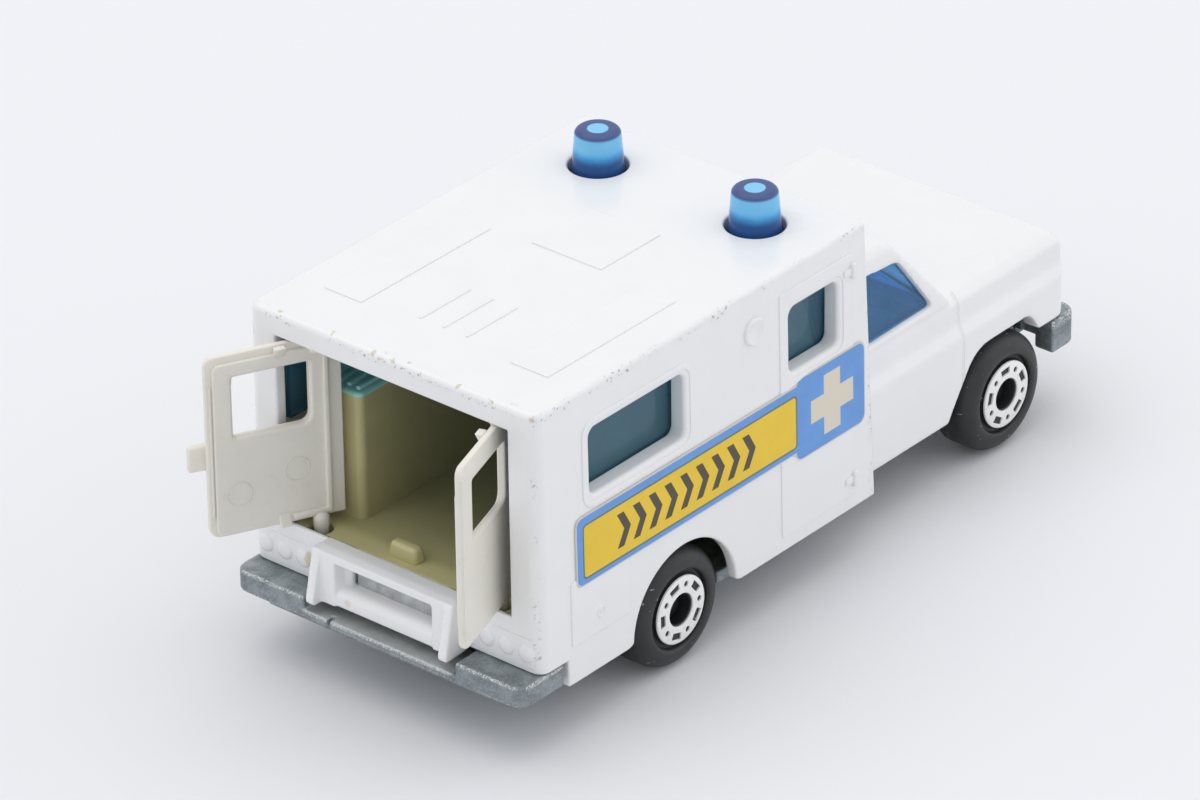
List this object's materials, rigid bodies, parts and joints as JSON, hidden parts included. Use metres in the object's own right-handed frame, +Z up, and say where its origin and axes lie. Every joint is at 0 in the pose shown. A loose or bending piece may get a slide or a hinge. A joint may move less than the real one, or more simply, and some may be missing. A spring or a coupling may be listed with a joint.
{
  "type": "toy ambulance",
  "caption": "Small die-cast toy ambulance: white box body on a pickup cab, blue beacons and windows, bare metal base with bumpers, free-rolling wheels and hinged rear doors standing open.",
  "frame": {"origin": "on the ground, on the centreline, midway between the two axles", "axes": "+X forward towards the bonnet, +Y to the vehicle's left, +Z up"},
  "size_m": [0.0801, 0.0316, 0.0346],
  "materials": {
    "enamel": "gloss white enamel on a zinc casting",
    "zinc": "bare zinc casting, mottled grey",
    "blue_plastic": "clear blue moulding",
    "interior_plastic": "satin olive cream moulding",
    "door_plastic": "satin off-white moulding",
    "axle_steel": "drawn steel wire",
    "wheel_plastic": "satin black moulding with white printed hub",
    "label_paper": "printed self-adhesive label"
  },
  "bodies": {
    "chassis": {"body_shell": "enamel", "base_plate": "zinc", "window_moulding": "blue_plastic", "interior_moulding": "interior_plastic", "front_axle": "axle_steel", "rear_axle": "axle_steel", "left_label": "label_paper", "right_label": "label_paper"},
    "left_door": {"left_rear_door": "door_plastic"},
    "right_door": {"right_rear_door": "door_plastic"},
    "front_left": {"front_left_wheel": "wheel_plastic"},
    "front_right": {"front_right_wheel": "wheel_plastic"},
    "rear_left": {"rear_left_wheel": "wheel_plastic"},
    "rear_right": {"rear_right_wheel": "wheel_plastic"}
  },
  "joints": [
    {"name": "left_door_hinge", "type": "hinge", "parent": "chassis", "child": "left_door", "pos_m": [-0.0384, 0.0096, 0.0203], "axis": [0, 0, -1], "range_deg": [-117, 1]},
    {"name": "right_door_hinge", "type": "hinge", "parent": "chassis", "child": "right_door", "pos_m": [-0.0384, -0.0096, 0.0203], "axis": [0, 0, 1], "range_deg": [-108, 10]},
    {"name": "front_left_wheel_spin", "type": "hinge", "parent": "chassis", "child": "front_left", "pos_m": [0.02235, 0.012, 0.00535], "axis": [0, 1, 0], "continuous": true},
    {"name": "front_right_wheel_spin", "type": "hinge", "parent": "chassis", "child": "front_right", "pos_m": [0.02235, -0.012, 0.00535], "axis": [0, 1, 0], "continuous": true},
    {"name": "rear_left_wheel_spin", "type": "hinge", "parent": "chassis", "child": "rear_left", "pos_m": [-0.02235, 0.013, 0.00535], "axis": [0, 1, 0], "continuous": true},
    {"name": "rear_right_wheel_spin", "type": "hinge", "parent": "chassis", "child": "rear_right", "pos_m": [-0.02235, -0.013, 0.00535], "axis": [0, 1, 0], "continuous": true}
  ]
}
